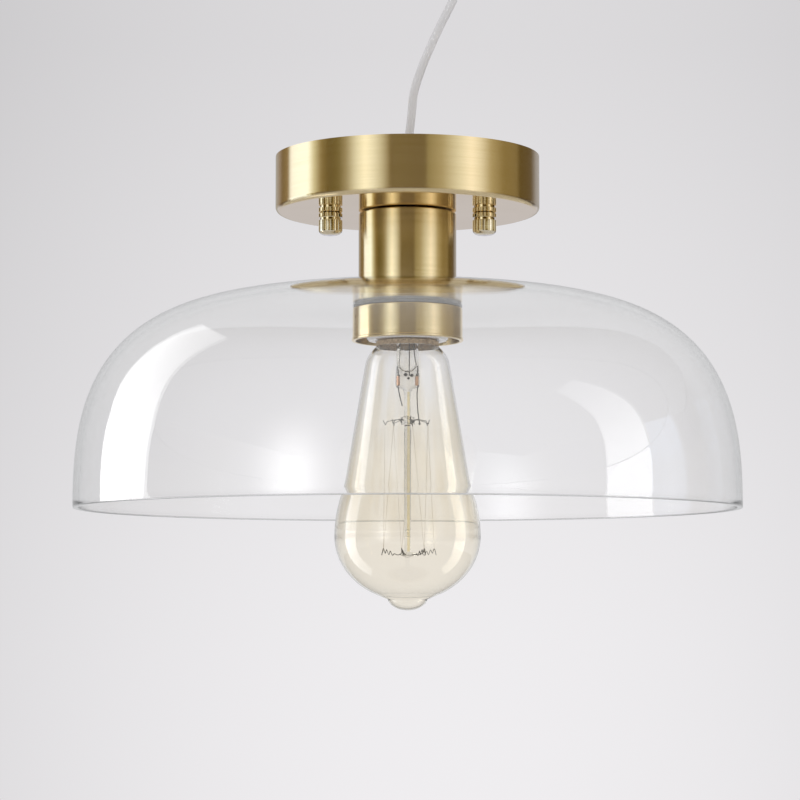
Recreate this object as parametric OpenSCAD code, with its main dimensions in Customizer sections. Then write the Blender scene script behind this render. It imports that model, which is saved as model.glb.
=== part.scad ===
// Glass dome flush mount ceiling light.
// Millimetres. The origin is on the ceiling plane, at the centre of the mounting strap.
// Z points up into the ceiling, so the whole light hangs below zero.

/* [Canopy] */
// Outer diameter of the canopy
canopy_d = 120; // [110:1:140]
// Height of the canopy below the ceiling
canopy_h = 25.4; // [22:0.2:34]
// Sheet thickness of the canopy
canopy_wall = 1.2; // [0.8:0.1:2]
// Radius of the lower outer edge of the canopy
canopy_edge_r = 2.2; // [1.3:0.1:3]

/* [Mounting strap] */
// Gap between the end of the strap and the wall of the canopy
strap_gap = 4.8; // [4:0.1:7]
// Width of the strap
strap_w = 20; // [16:1:24]
// Thickness of the strap
strap_t = 1.6; // [1.2:0.1:2.5]
// Distance from the centre of a ceiling screw slot to the end of the strap
slot_end = 9.55; // [8.5:0.05:10]
// Length of a ceiling screw slot from end to end
slot_l = 10; // [8:0.5:11]
// Width of a ceiling screw slot
slot_w = 5; // [4:0.2:6]
// Diameter of the hole that the supply lead passes through
strap_eye_d = 14; // [10:0.5:15]

/* [Studs and cap nuts] */
// Distance from the axis of a mounting stud to the centre of the slot beside it
stud_to_slot = 9.45; // [9:0.05:11]
// Thread diameter of a stud
stud_d = 4; // [3:0.5:4.5]
// Length of stud inside the cap nut
stud_grip = 7; // [5:0.5:8]
// Diameter of a cap nut
cap_nut_d = 10.8; // [9:0.2:13]
// Height of a cap nut with its domed end
cap_nut_h = 10.2; // [10:0.2:14]
// Height of the fluted band at the mouth of the cap nut
cap_nut_band = 2.2; // [1.5:0.1:3]
// Number of flutes round the cap nut
cap_nut_flutes = 18; // [12:1:24]
// Radius of one flute
flute_r = 0.55; // [0.3:0.05:0.6]

/* [Socket cup] */
// Outer diameter of the socket cup
cup_d = 44.4; // [43:0.2:48]
// Height of the wide part of the cup, down to the shoulder that carries the glass
cup_h = 33.8; // [32:0.2:50]
// Wall of the cup
cup_wall = 1.2; // [0.8:0.1:1.4]
// Thickness of the top plate of the cup
cup_plate = 1.4; // [1:0.1:3]
// Thread diameter of the narrow part that passes through the glass
cup_thread_d = 40; // [39.5:0.5:41]
// Length of the threaded part below the shoulder
cup_thread_h = 19; // [17:0.5:21]
// Wall of the threaded part
cup_thread_wall = 1; // [0.8:0.1:1.2]
// Height of the washer that keeps the cup off the canopy
seam_h = 0.5; // [0.4:0.1:2]

/* [Glass shade] */
// Outer diameter of the glass at its rim
glass_d = 300; // [260:2:340]
// Height of the glass from its top to its rim
glass_h = 98.8; // [80:0.2:120]
// Thickness of the glass
glass_t = 2.6; // [2:0.1:4]
// Squareness of the plan curve: larger keeps the top wide before it turns down
glass_top_power = 4; // [3:0.1:5]
// Squareness of the side curve: larger keeps the wall steep
glass_side_power = 2.72; // [2:0.02:4]

/* [Gasket and shade ring] */
// Outer diameter of the clear gasket that lines the hole of the glass
gasket_d = 49.6; // [48.2:0.2:56]
// Thickness of the gasket above the glass
gasket_top_t = 1.8; // [1:0.1:3]
// Thickness of the gasket under the glass
gasket_low_t = 1.4; // [1:0.1:3]
// Outer diameter of the shade ring
ring_d = 50; // [48:0.2:56]
// Height of the shade ring
ring_h = 17.2; // [15:0.2:20]
// Height of the threaded part inside the shade ring
ring_thread_h = 8; // [5:0.5:10]
// Wall of the skirt of the shade ring
ring_wall = 1.4; // [1:0.1:2]
// Thread pitch of the shade ring
ring_pitch = 1.5; // [1:0.25:2]

/* [Nipple and cord grip] */
// Thread diameter of the hollow nipple
nipple_d = 10; // [9.5:0.5:10.5]
// Bore of the nipple
nipple_bore = 6.4; // [5:0.2:7]
// Width across the flats of the nipple locknuts
locknut_af = 14; // [13:0.5:16]
// Height of a nipple locknut
locknut_h = 3; // [2:0.1:4]
// Diameter of the cord grip
grip_d = 13; // [12:0.5:13.5]
// Height of the cord grip
grip_h = 10; // [9:0.5:11]
// Depth of the ceiling plane above the top of the cord grip
grip_drop = 5; // [4:0.5:6]

/* [Lampholder] */
// Outer diameter of the porcelain lampholder
holder_d = 37.2; // [36:0.1:37.4]
// Height of the porcelain lampholder
holder_h = 37.5; // [35:0.1:40]
// Thickness of the porcelain above the screw shell
holder_floor = 11.2; // [10:0.1:13]
// Inner diameter of the screw shell
shell_bore = 26.2; // [26.15:0.05:27]
// Wall of the screw shell
shell_wall = 0.8; // [0.5:0.1:1]
// Height of the bracket that carries the lampholder
holder_bracket_h = 15; // [14:0.5:18]
// Sheet thickness of that bracket
holder_bracket_t = 1.5; // [1:0.1:2]
// Distance between the two terminals
terminal_spacing = 22; // [20:0.5:23]

/* [Bulb] */
// Widest diameter of the bulb
bulb_d = 65.9; // [60:0.1:70]
// Length of the bulb from its contact to its tip
bulb_l = 147.2; // [138:0.1:150]
// Depth of the rounded base of the bulb, from its widest place down to its tip
bulb_base_depth = 33.2; // [28:0.1:38]
// Wall of the bulb glass
bulb_wall = 0.8; // [0.6:0.1:1.2]
// Thread diameter of the bulb cap
bulb_thread_d = 26.05; // [25:0.05:26.05]
// Length of the threaded shell of the bulb cap
bulb_shell_h = 20; // [18:0.5:21]
// Diameter of the rim of the bulb cap
bulb_rim_d = 28.4; // [27:0.1:29]
// Number of supports at each end of the filament
filament_loops = 7; // [5:1:9]
// Distance of the filament from the axis at its upper supports
filament_top_r = 10; // [8:0.5:11]
// Distance of the filament from the axis at its lower supports
filament_low_r = 12.5; // [9:0.5:13.5]

/* [Supply lead] */
// Outer diameter of the supply lead
lead_d = 3.8; // [3:0.1:4]

/* [Hidden] */

// Clearances
fit = 0.05;       // between a thread or shank and its hole
seat = 0.15;      // between a screwed piece and its seat
slip = 0.1;       // between the gasket and the thread that it passes
sink = 0.1;       // the heads and ends that stay just under the ceiling plane

// Levels from the ceiling down
z_under = -canopy_h;
z_canopy_floor = z_under + canopy_wall;
z_cup_top = z_under - seam_h;
z_shoulder = z_cup_top - cup_h;
z_gasket_top = z_shoulder - fit;
z_glass_top = z_gasket_top - gasket_top_t - fit;
z_glass_under = z_glass_top - glass_t;
z_rim = z_glass_top - glass_h;
z_gasket_low = z_glass_under - fit - gasket_low_t;
z_ring_top = z_gasket_low - seat;
z_ring_low = z_ring_top - ring_h;
z_thread_end = z_shoulder - cup_thread_h;
z_cup_inside = z_cup_top - cup_plate;
z_bracket_top = z_cup_inside - locknut_h;
z_holder_top = z_bracket_top - holder_bracket_h;
z_holder_low = z_holder_top - holder_h;
z_holder_floor = z_holder_top - holder_floor;
z_grip_top = -grip_drop;
z_grip_low = z_grip_top - grip_h;

// Ceiling strap, from the canopy's size
strap_l = canopy_d - 2 * (canopy_wall + strap_gap);
slot_spacing = strap_l - 2 * slot_end;
stud_x = slot_spacing / 2 - stud_to_slot;
earth_screw_x = (strap_eye_d / 2 + stud_x) / 2;
earth_slot_w = 1;
earth_slot_h = 1;

// Small hardware
washer_t = 1;
washer_d = 18;
thread_depth = 0.35;
strap_end_r = 4;
stud_nut_af = 7;
stud_nut_h = 2.4;
stud_hole_d = stud_d + 1.2;
stud_low = z_under - seat - stud_grip;
earth_head_d = 7;
earth_head_h = 2.4;
cap_nut_dome = 2.3;
cap_nut_groove = 1;
cap_nut_groove_depth = 0.7;
cap_nut_bore_h = stud_grip + 0.8;
nipple_hole_d = nipple_d + 0.4;
nipple_in_grip = 4;
nipple_top = z_grip_low + nipple_in_grip;
nipple_tail = 3.5;
nipple_low = z_bracket_top - holder_bracket_t - nipple_tail;
cup_washer_d = 26;
glass_hole_d = cup_thread_d + 1.5;
ring_edge_r = 0.9;
ring_lip = 0.3;
ring_lip_h = 1.4;
glass_steps = 32;
glass_rim_r = glass_t / 2;

// Lampholder details
holder_bore_d = shell_bore + 2 * shell_wall + 2 * fit;
shell_inset = 2.5;
shell_h = 16;
bracket_w = 15;
bracket_leg_x = 14;
bracket_foot = 7;
bracket_screw_d = 3;
bracket_screw_head_d = 4.8;
bracket_screw_x = bracket_leg_x - holder_bracket_t - bracket_screw_head_d / 2 - 0.3;
bracket_screw_head_h = 1.8;
bracket_screw_depth = 7;
terminal_w = 6;
terminal_l = 5;
terminal_h = 6.5;
terminal_hole_d = 2.4;
terminal_screw_d = 3;
terminal_screw_h = 1.6;
wire_d = 2.2;
wire_bend_r = 4;
wire_offset = 1.2;
wire_in_terminal = 2;
contact_h = 1.7;
contact_t = 0.4;
contact_w = 6;
contact_gap = 0.3;

// Bulb levels
z_bulb_top = z_holder_floor - contact_h - contact_gap;
z_bulb_tip = z_bulb_top - bulb_l;
z_wide = z_bulb_tip + bulb_base_depth;
bulb_contact_h = 1;
bulb_contact_d = 9;
bulb_insulator_h = 3;
z_shell_top = z_bulb_top - bulb_contact_h - bulb_insulator_h;
z_rim_top = z_shell_top - bulb_shell_h;
bulb_rim_h = 3;
z_rim_low = z_rim_top - bulb_rim_h;
cap_sheet = 0.4;
cap_thread_depth = 0.6;
cap_thread_pitch = 3.6;
cap_inside_r = bulb_thread_d / 2 - cap_thread_depth - cap_sheet;
neck_r = cap_inside_r - 2 * fit;
bulb_side_r = 51;     // arc of the side above the widest place
bulb_side_turn = 18.5; // angle of that arc, from the vertical
bulb_waist_r = 56;    // hollow arc between the side and the cone
bulb_cone_turn = 9.6;
bulb_shoulder_r = 12; // arc that closes the cone towards the cap
bulb_shoulder_turn = 53;
bulb_cone_l = 43.5;
bulb_neck_h = 7;
shoulder_end_r = bulb_rim_d / 2 - 0.33;
z_neck_low = z_rim_low - 0.2;
bump_r = 9.3;
bump_h = 5;
bump_out = 2.9;       // depth of the tip below the rounded base
bulb_base_h = bulb_base_depth - bump_out;
solder_r = 1.3;
solder_angle = -50;
flare_d = 10;
flare_wall = 0.8;
flare_h = 5;
pinch_top = 41;       // levels of the stem, measured down from the bulb's contact
pinch_h = 6.5;
pinch_t = 3.6;
rod_d = 3;
rod_low = bulb_l - bulb_base_depth + 11.5;
top_bead = pinch_top + pinch_h + 15.5;
low_bead = rod_low - 1;
bead_d = 6.2;
bead_h = 4.2;
low_bead_h = 2.6;
support_d = 0.5;
hook_rise = 1.2;
filament_d = 0.3;
filament_gap = 0.45;
hook_bend_r = 0.7;
lead_wire_d = 0.6;

// Route of the supply lead above the ceiling plane, chosen by hand
LEAD_ROUTE = [
    [0, 0, 0], [0, 0, 4], [1, 0, 12], [2, 0, 21], [3, 0, 30],
    [6, 0, 40], [10, 0, 50], [15, 0, 61], [20, 0, 71], [24, 0, 80]
];
lead_sides = 8;
tail_d = 1.1;
tail_l = 8;
tail_spread = 1.1;

$fn = 96;
small = 48;

// A ring of radius r_out with a hole of radius r_in between two levels
module tube(r_out, r_in, low, high) {
    rotate_extrude() translate([r_in, low]) square([r_out - r_in, high - low]);
}

// An upright rod between two levels
module rod(r, low, high) {
    translate([0, 0, low]) cylinder(r = r, h = high - low, $fn = small);
}

// A hexagon nut seat with a round hole, hanging down from a level
module hex_nut(af, bore_d, high, h) {
    translate([0, 0, high - h]) difference() {
        cylinder(d = af / cos(30), h = h, $fn = 6);
        translate([0, 0, -1]) cylinder(d = bore_d, h = h + 2, $fn = small);
    }
}

// A closed tube of n sides swept along points, with its rings square to the path
function unit(v) = v / norm(v);
function path_dir(p, i) =
    let (last = len(p) - 1)
    i == 0 ? unit(p[1] - p[0]) :
    i == last ? unit(p[last] - p[last - 1]) :
    unit(unit(p[i + 1] - p[i]) + unit(p[i] - p[i - 1]));
function path_side(d, hint) = unit(cross(hint, d));
function ring_points(centre, d, r, n, hint) =
    let (u = path_side(d, hint), v = cross(d, u))
    [for (k = [0 : n - 1]) centre + r * (cos(360 * k / n) * u + sin(360 * k / n) * v)];
module swept_tube(p, r, n, hint) {
    rings = [for (i = [0 : len(p) - 1]) ring_points(p[i], path_dir(p, i), r, n, hint)];
    points = [for (ring = rings) each ring];
    sides = [for (i = [0 : len(p) - 2], k = [0 : n - 1])
        let (a = i * n + k, b = i * n + (k + 1) % n)
        each [[a, b, b + n], [a, b + n, a + n]]];
    start_cap = [for (k = [1 : n - 2]) [0, k + 1, k]];
    base = (len(p) - 1) * n;
    end_cap = [for (k = [1 : n - 2]) [base, base + k, base + k + 1]];
    polyhedron(points, [for (f = concat(sides, start_cap, end_cap)) [f[0], f[2], f[1]]]);
}

// A smooth curve through points, with steps between each pair
function curve_point(a, b, c, d, t) =
    0.5 * ((2 * b) + (c - a) * t + (2 * a - 5 * b + 4 * c - d) * t * t
    + (3 * b - a - 3 * c + d) * t * t * t);
function smooth_path(p, steps) =
    let (last = len(p) - 1)
    concat([for (i = [0 : last - 1], s = [0 : steps - 1])
        curve_point(p[max(i - 1, 0)], p[i], p[i + 1], p[min(i + 2, last)], s / steps)],
        [p[last]]);

// Ceiling bracket: strap, earth screw, studs and their nuts
module mounting_strap() {
    color("gainsboro") difference() {
        translate([0, 0, -strap_t]) linear_extrude(strap_t) strap_outline();
        for (side = [-1, 1]) {
            translate([side * slot_spacing / 2, 0, -strap_t - 1])
                linear_extrude(strap_t + 2) slot_outline();
            translate([side * stud_x, 0, -strap_t - 1]) cylinder(d = stud_d, h = strap_t + 2);
        }
        translate([0, 0, -strap_t - 1]) cylinder(d = strap_eye_d, h = strap_t + 2);
        translate([earth_screw_x, 0, -strap_t - 1]) cylinder(d = stud_d, h = strap_t + 2);
    }
}

module strap_outline() {
    square([strap_l - 2 * strap_end_r, strap_w], center = true);
    square([strap_l, strap_w - 2 * strap_end_r], center = true);
    for (x = [-1, 1], y = [-1, 1])
        translate([x * (strap_l / 2 - strap_end_r), y * (strap_w / 2 - strap_end_r)])
            circle(r = strap_end_r, $fn = small);
}

module slot_outline() {
    square([slot_l - slot_w, slot_w], center = true);
    for (side = [-1, 1])
        translate([side * (slot_l - slot_w) / 2, 0]) circle(d = slot_w, $fn = small);
}

module earth_screw() {
    color("mediumseagreen") translate([earth_screw_x, 0, 0]) difference() {
        union() {
            rod(stud_d / 2 - fit, -strap_t - 0.5, -sink);
            rod(earth_head_d / 2, -strap_t - earth_head_h, -strap_t);
        }
        translate([0, 0, -strap_t - earth_head_h])
            cube([earth_head_d + 1, earth_slot_w, 2 * earth_slot_h], center = true);
    }
}

module stud(side) {
    color("silver") translate([side * stud_x, 0, 0]) rod(stud_d / 2 - fit, stud_low, -sink);
}

module stud_locknuts() {
    color("silver") for (side = [-1, 1])
        translate([side * stud_x, 0, 0]) hex_nut(stud_nut_af, stud_d, -strap_t, stud_nut_h);
}

// Canopy: a spun pan, open towards the ceiling
module canopy() {
    r = canopy_d / 2;
    color("darkgoldenrod") difference() {
        rotate_extrude() difference() {
            union() {
                translate([0, z_under + canopy_edge_r]) square([r, canopy_h - canopy_edge_r]);
                translate([0, z_under]) square([r - canopy_edge_r, canopy_edge_r]);
                intersection() {
                    translate([r - canopy_edge_r, z_under + canopy_edge_r])
                        circle(r = canopy_edge_r, $fn = small);
                    translate([r - canopy_edge_r, z_under]) square(2 * canopy_edge_r);
                }
            }
            translate([-1, z_canopy_floor]) square([r - canopy_wall + 1, canopy_h]);
        }
        translate([0, 0, z_under - 1]) cylinder(d = nipple_hole_d, h = canopy_wall + 2);
        for (side = [-1, 1])
            translate([side * stud_x, 0, z_under - 1])
                cylinder(d = stud_hole_d, h = canopy_wall + 2);
    }
}

// Hollow threaded rod that joins the canopy, the cup and the lampholder bracket
module nipple() {
    color("khaki") tube(nipple_d / 2 - fit, nipple_bore / 2, nipple_low, nipple_top);
}

module lock_washer() {
    teeth = 12;
    color("silver") difference() {
        tube(washer_d / 2, nipple_d / 2 + fit, z_canopy_floor, z_canopy_floor + washer_t);
        for (k = [0 : teeth - 1])
            rotate(k * 360 / teeth) translate([washer_d / 2, 0, z_canopy_floor - 1])
                cylinder(d = 2, h = washer_t + 2, $fn = small);
    }
}

module canopy_locknut() {
    color("khaki")
        hex_nut(locknut_af, nipple_d, z_canopy_floor + washer_t + locknut_h, locknut_h);
}

module cup_locknut() {
    color("khaki") hex_nut(locknut_af, nipple_d, z_cup_inside, locknut_h);
}

// Cord grip: screws onto the top of the nipple and clamps the lead with a side screw
module cord_grip() {
    screw_z = (z_grip_top + nipple_top) / 2;
    color("khaki") difference() {
        union() {
            rod(grip_d / 2, z_grip_low, z_grip_top - 2);
            translate([0, 0, z_grip_top - 2])
                cylinder(d1 = grip_d, d2 = grip_d - 4, h = 2, $fn = small);
        }
        translate([0, 0, z_grip_low - 1]) cylinder(d = nipple_d, h = nipple_in_grip + 1);
        translate([0, 0, z_grip_low]) cylinder(d = lead_d + 2 * fit, h = grip_h + 1);
        translate([0, 0, screw_z]) rotate([0, 90, 0]) cylinder(d = 3, h = grip_d, $fn = small);
    }
}

module cord_grip_screw() {
    screw_z = (z_grip_top + nipple_top) / 2;
    start = lead_d / 2 + fit;
    color("silver") translate([start, 0, screw_z]) rotate([0, 90, 0])
        cylinder(d = 3 - 2 * fit, h = grip_d / 2 - start + 1.2, $fn = small);
}

module cup_washer() {
    color("dimgray") tube(cup_washer_d / 2, nipple_d / 2 + fit, z_cup_top, z_under);
}

// Socket cup: wide brass tube with a top plate, a shoulder and a narrow threaded part
module socket_cup() {
    r = cup_d / 2;
    rt = cup_thread_d / 2;
    crest = thread_depth;
    edge = 0.5;
    color("darkgoldenrod") rotate_extrude() polygon(concat(
        [[nipple_hole_d / 2, z_cup_top], [r - edge, z_cup_top], [r, z_cup_top - edge],
         [r, z_shoulder], [rt, z_shoulder]],
        thread_outline(rt, crest, z_shoulder - 2, z_thread_end + 0.5, ring_pitch),
        [[rt - crest, z_thread_end], [rt - cup_thread_wall, z_thread_end],
         [rt - cup_thread_wall, z_shoulder + cup_wall], [r - cup_wall, z_shoulder + cup_wall],
         [r - cup_wall, z_cup_inside], [nipple_hole_d / 2, z_cup_inside]]));
}

// Rings that stand for a thread, from the top level to the low level
function thread_outline(r, depth, top, low, pitch) =
    [for (z = [top : -pitch : low + pitch]) each
        [[r, z], [r - depth, z - pitch * 0.35], [r - depth, z - pitch * 0.65], [r, z - pitch]]];

// Steel bracket screwed on the nipple: two legs and two feet on the lampholder
module holder_bracket() {
    t = holder_bracket_t;
    color("gainsboro") difference() {
        union() {
            translate([-bracket_leg_x, -bracket_w / 2, z_bracket_top - t])
                cube([2 * bracket_leg_x, bracket_w, t]);
            for (side = [-1, 1]) mirrored_x(side) {
                translate([bracket_leg_x - t, -bracket_w / 2, z_holder_top])
                    cube([t, bracket_w, holder_bracket_h]);
                translate([bracket_leg_x - bracket_foot, -bracket_w / 2, z_holder_top])
                    cube([bracket_foot, bracket_w, t]);
            }
        }
        translate([0, 0, z_bracket_top - t - 1]) cylinder(d = nipple_d, h = t + 2);
        for (side = [-1, 1])
            translate([side * bracket_screw_x, 0, z_holder_top - 1])
                cylinder(d = bracket_screw_d + 0.4, h = t + 2, $fn = small);
    }
}

// Mirrors its child to the left when side is -1
module mirrored_x(side) {
    if (side < 0) mirror([1, 0, 0]) children();
    else children();
}

module holder_screws() {
    top = z_holder_top + holder_bracket_t;
    color("silver") for (side = [-1, 1]) translate([side * bracket_screw_x, 0, 0]) {
        rod(bracket_screw_d / 2 - fit, top - bracket_screw_depth, top + 0.5);
        rod(bracket_screw_head_d / 2, top, top + bracket_screw_head_h);
    }
}

// Porcelain lampholder with a stepped skirt and two screw holes in its top
module lampholder_body() {
    r = holder_d / 2;
    chamfer = 1;
    color("ivory") difference() {
        rotate_extrude() polygon([
            [0, z_holder_top], [r - chamfer, z_holder_top], [r, z_holder_top - chamfer],
            [r, z_holder_low + chamfer], [r - chamfer, z_holder_low],
            [holder_bore_d / 2 + chamfer, z_holder_low],
            [holder_bore_d / 2, z_holder_low + chamfer],
            [holder_bore_d / 2, z_holder_floor], [0, z_holder_floor]]);
        for (side = [-1, 1]) {
            translate([side * bracket_screw_x, 0, z_holder_top - bracket_screw_depth])
                cylinder(d = bracket_screw_d, h = bracket_screw_depth + 1, $fn = small);
        }
    }
}

module screw_shell() {
    low = z_holder_low + shell_inset;
    color("silver") tube(shell_bore / 2 + shell_wall, shell_bore / 2, low, low + shell_h);
}

// Springy centre contact: a flat foot, a riser and a raised tongue
module centre_contact() {
    color("goldenrod") difference() {
        translate([-contact_w, -contact_w / 2, z_holder_floor - contact_h])
            cube([2 * contact_w, contact_w, contact_h]);
        translate([-contact_w + contact_t, -contact_w, z_holder_floor - contact_h + contact_t])
            cube([2 * contact_w, 2 * contact_w, contact_h - 2 * contact_t]);
    }
}

// Two pillar terminals on the porcelain, each with its screw
module terminals() {
    for (side = [-1, 1]) translate([0, side * terminal_spacing / 2, 0]) {
        color("goldenrod") difference() {
            translate([-terminal_w / 2, -terminal_l / 2, z_holder_top])
                cube([terminal_w, terminal_l, terminal_h]);
            translate([0, -terminal_l, wire_level()]) rotate([-90, 0, 0])
                cylinder(d = terminal_hole_d, h = 2 * terminal_l, $fn = small);
        }
        color("silver") rod(terminal_screw_d / 2, z_holder_top + terminal_h,
            z_holder_top + terminal_h + terminal_screw_h);
    }
}

function wire_level() = z_holder_top + terminal_h - terminal_hole_d / 2 - 1;
function lead_inner_low() = wire_level() + wire_bend_r;

// Stretch of the lead inside the grip and the nipple
module lead_inner() {
    color("lightgray") rod(lead_d / 2, lead_inner_low(), z_grip_top);
}

// One core: leaves the lead, bends outwards and enters its terminal
module core_wire(side) {
    far = terminal_spacing / 2 - terminal_l / 2 + wire_in_terminal;
    mirrored_y(side) {
        translate([0, wire_offset + wire_bend_r, lead_inner_low()])
            rotate([0, 90, 0]) rotate(-90) rotate_extrude(angle = 90)
                translate([wire_bend_r, 0]) circle(d = wire_d, $fn = small);
        translate([0, wire_offset + wire_bend_r, wire_level()]) rotate([-90, 0, 0])
            cylinder(d = wire_d, h = far - wire_offset - wire_bend_r, $fn = small);
    }
}

// Mirrors its children to the front when side is -1
module mirrored_y(side) {
    if (side < 0) mirror([0, 1, 0]) children();
    else children();
}

// Free stretch of the supply lead, from the cord grip up into the ceiling
function lead_path() = concat([[0, 0, z_grip_top]], smooth_path(LEAD_ROUTE, 3));
module supply_lead() {
    color("lightgray") swept_tube(lead_path(), lead_d / 2, lead_sides, [0, 1, 0]);
}

// Bare ends of the two cores, ready for the terminals in the ceiling
module lead_tails() {
    path = lead_path();
    last = len(path) - 1;
    dir = unit(path[last] - path[last - 1]);
    lean = atan2(dir[0], dir[2]);
    color("silver") translate(path[last]) rotate([0, lean, 0])
        for (side = [-1, 1]) translate([0, side * tail_spread / 1.5, 0])
            cylinder(d = tail_d, h = tail_l, $fn = 16);
}

// Fluted cap nut with a band, a groove and a domed end, blind bored for the stud
module cap_nut(side) {
    r = cap_nut_d / 2;
    top = z_under - seat;
    low = top - cap_nut_h;
    band_low = top - cap_nut_band;
    body_top = band_low - cap_nut_groove;
    edge = 0.4;
    color("gold") translate([side * stud_x, 0, 0]) difference() {
        rotate_extrude($fn = small) polygon(concat(
            [[0, top], [r - edge, top], [r, top - edge], [r, band_low + edge / 2],
             [r - cap_nut_groove_depth, band_low], [r - cap_nut_groove_depth, body_top],
             [r, body_top - edge / 2]],
            [for (a = [0 : 15 : 75]) [r * pow(cos(a), 0.6), low + cap_nut_dome * (1 - sin(a))]],
            [[0, low]]));
        for (k = [0 : cap_nut_flutes - 1]) rotate((k + 0.5) * 360 / cap_nut_flutes)
            translate([r + flute_r * 0.35, 0, low + cap_nut_dome - flute_r])
                cylinder(r = flute_r, h = cap_nut_h, $fn = 16);
        translate([0, 0, top - cap_nut_bore_h])
            cylinder(d = stud_d, h = cap_nut_bore_h + 1, $fn = small);
    }
}

// Glass dome: a squared curve of revolution with an even wall and a round rim
function dome_point(r, h, top, a) =
    [r * pow(sin(a), 2 / glass_top_power), top - h * (1 - pow(cos(a), 2 / glass_side_power))];
function dome_start(r) = asin(pow(glass_hole_d / 2 / r, glass_top_power / 2));
function dome_curve(r, h, top) =
    [for (i = [0 : glass_steps]) dome_point(r, h, top,
        dome_start(r) + (90 - dome_start(r)) * i / glass_steps)];
function reversed(list) = [for (i = [len(list) - 1 : -1 : 0]) list[i]];

function above_rim(curve) = [for (p = curve) if (p[1] > z_rim + 1.5 * glass_rim_r) p];

// The inner face keeps the thickness of the glass, measured square to the outer face
function inner_face(curve) = concat([[glass_hole_d / 2, z_glass_under]],
    [for (i = [1 : len(curve) - 2])
        let (along = unit(curve[i + 1] - curve[i - 1]))
        curve[i] + glass_t * [along[1], -along[0]]]);

module glass_dome() {
    r = glass_d / 2;
    outer = dome_curve(r, glass_h, z_glass_top);
    inner = inner_face(outer);
    rim = arc_points([r - glass_rim_r, z_rim + glass_rim_r], glass_rim_r, 0, -180, 12);
    color("aliceblue", 0.35) rotate_extrude($fn = 180)
        polygon(concat(above_rim(outer), rim, reversed(above_rim(inner))));
}

// Gasket: a sleeve in the hole of the glass with a flange above it and one below it
module shade_gasket() {
    flange = gasket_d / 2;
    sleeve = glass_hole_d / 2 - fit;
    bore = cup_thread_d / 2 + slip;
    color("whitesmoke", 0.6) rotate_extrude() polygon([
        [bore, z_gasket_top], [flange, z_gasket_top], [flange, z_glass_top + fit],
        [sleeve, z_glass_top + fit], [sleeve, z_glass_under - fit],
        [flange, z_glass_under - fit], [flange, z_gasket_low], [bore, z_gasket_low]]);
}

// Shade ring: threaded inside at its top, open skirt below with a small lip
module shade_ring() {
    r = ring_d / 2;
    bore = cup_thread_d / 2 + fit;
    skirt = r - ring_wall;
    step_z = z_ring_top - ring_thread_h;
    color("darkgoldenrod") rotate_extrude() polygon(concat(
        [[bore, z_ring_top], [r - ring_edge_r, z_ring_top]],
        [for (a = [75 : -15 : 0]) [r - ring_edge_r + ring_edge_r * cos(a),
            z_ring_top - ring_edge_r + ring_edge_r * sin(a)]],
        [[r, z_ring_low + ring_lip_h], [r + ring_lip, z_ring_low + ring_lip_h - ring_lip],
         [r + ring_lip, z_ring_low + ring_lip], [r, z_ring_low], [skirt, z_ring_low],
         [skirt, step_z], [bore, step_z]]));
}

// Points on an arc
function arc_points(centre, r, from, to, steps) =
    [for (i = [0 : steps]) let (a = from + (to - from) * i / steps)
        centre + r * [cos(a), sin(a)]];

// Side of the bulb above its widest place, shrunk inwards by w, drawn from level zero
function bulb_side(w) =
    let (
        side_r = bulb_side_r,
        side_centre = [bulb_d / 2 - side_r, 0],
        joint = side_centre + side_r * [cos(bulb_side_turn), sin(bulb_side_turn)],
        waist_centre = joint + bulb_waist_r * [cos(bulb_side_turn), sin(bulb_side_turn)],
        cone_low = waist_centre - bulb_waist_r * [cos(bulb_cone_turn), sin(bulb_cone_turn)],
        cone_dir = [-sin(bulb_cone_turn), cos(bulb_cone_turn)],
        cone_top = cone_low + bulb_cone_l * cone_dir,
        shoulder_centre = cone_top - bulb_shoulder_r * [cos(bulb_cone_turn), sin(bulb_cone_turn)]
    )
    concat(
        arc_points(side_centre, side_r - w, 0, bulb_side_turn, 4),
        arc_points(waist_centre, bulb_waist_r + w, 180 + bulb_side_turn - 1.5,
            180 + bulb_cone_turn, 3),
        arc_points(shoulder_centre, bulb_shoulder_r - w, bulb_cone_turn, bulb_shoulder_turn, 6));

// Rounded base of the bulb with its small tip, shrunk inwards by w
function bulb_base(w) =
    let (
        wide = bulb_d / 2,
        bump_z = z_bulb_tip + bump_h,
        base_end = asin((z_wide - bump_z) / bulb_base_h)
    )
    concat(
        [for (a = [90 : -15 : 15]) [max(0, (bump_r - w) * cos(a)), bump_z - (bump_h - w) * sin(a)]],
        [for (a = [base_end - 4 : -5 : 4])
            [(wide - w) * cos(a), z_wide - (bulb_base_h - w) * sin(a)]]);

// The whole outline, from the tip up to the neck, fitted to the rim of the cap
function bulb_outline(w) =
    let (
        wide = bulb_d / 2,
        drawn = bulb_side(0)[len(bulb_side(0)) - 1],
        in_scale = (wide - shoulder_end_r) / (wide - drawn[0]),
        up_scale = (z_neck_low - z_wide) / drawn[1]
    )
    concat(bulb_base(w),
        [for (p = bulb_side(w)) [wide - in_scale * (wide - p[0]), z_wide + up_scale * p[1]]]);

module bulb_glass() {
    outer = bulb_outline(0);
    inner = bulb_outline(bulb_wall);
    start = z_neck_low + 1;
    end = z_neck_low + bulb_neck_h;
    color("wheat", 0.4) rotate_extrude() polygon(concat(
        outer, [[neck_r, start], [neck_r, end], [neck_r - bulb_wall, end],
        [neck_r - bulb_wall, start]], reversed(inner)));
}

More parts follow.
